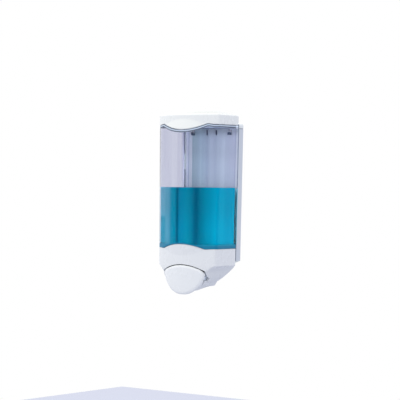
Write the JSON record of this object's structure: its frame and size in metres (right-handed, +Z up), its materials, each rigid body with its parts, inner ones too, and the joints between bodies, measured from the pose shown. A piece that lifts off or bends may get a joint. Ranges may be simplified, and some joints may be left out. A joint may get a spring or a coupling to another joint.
{
  "type": "wall mounted soap dispenser",
  "caption": "Wall mounted push-button liquid soap dispenser with a see-through tank, hinged white lid, white lower housing with piston pump, and a screw-on wall plate.",
  "frame": {"origin": "centre of the wall plate's four screw holes, in the plane of its back face on the wall", "axes": "+X to the right as a user faces the dispenser, +Y into the wall, +Z up"},
  "size_m": [0.1181, 0.083, 0.2848],
  "materials": {
    "white_shell": "glossy",
    "white_plate": "satin",
    "smoky_clear": "polished",
    "soap": "liquid",
    "seal_grey": "satin",
    "rubber_dark": "matte",
    "steel": "bright",
    "natural_plastic": "moulded",
    "dark_plastic": "moulded"
  },
  "bodies": {
    "wall_plate": {"wall_plate": "white_plate"},
    "tank_unit": {"tank": "smoky_clear", "rim_seal": "seal_grey", "soap_fill": "soap", "lid_hinge_rail": "smoky_clear", "lid_hinge_pins": "steel", "base_housing": "white_shell", "housing_screws": "steel", "button_pivot_pin": "steel", "pump_body": "natural_plastic", "inlet_seat": "dark_plastic", "inlet_strainer": "natural_plastic", "neck_gasket": "rubber_dark", "union_nut": "natural_plastic", "rod_guide": "dark_plastic", "return_spring": "steel", "outlet_nozzle": "natural_plastic", "outlet_valve": "rubber_dark"},
    "lid": {"lid": "white_shell"},
    "button": {"button": "white_shell"},
    "piston": {"piston": "natural_plastic", "piston_seal": "rubber_dark"},
    "inlet_ball": {"inlet_ball": "steel"}
  },
  "joints": [
    {"name": "tank_lift", "type": "slide", "parent": "wall_plate", "child": "tank_unit", "axis": [0, 0, 1], "range_m": [0, 0.004]},
    {"name": "lid_hinge", "type": "hinge", "parent": "tank_unit", "child": "lid", "pos_m": [0, -0.0125, 0.111], "axis": [-1, 0, 0], "range_deg": [0, 80]},
    {"name": "button_press", "type": "hinge", "parent": "tank_unit", "child": "button", "pos_m": [0, -0.0735, -0.1465], "axis": [-1, 0, 0], "range_deg": [0, 14], "stiffness_Nm_per_rad": 0.6, "springref_deg": -11.46},
    {"name": "piston_slide", "type": "slide", "parent": "tank_unit", "child": "piston", "axis": [0, 1, 0], "range_m": [0, 0.0057], "deforming": ["return_spring"]},
    {"name": "inlet_ball_lift", "type": "slide", "parent": "tank_unit", "child": "inlet_ball", "axis": [0, 0, 1], "range_m": [0, 0.0028]}
  ],
  "couplings": [
    {"joint": "piston_slide", "follows": "button_press", "m_per_rad": 0.0232}
  ]
}
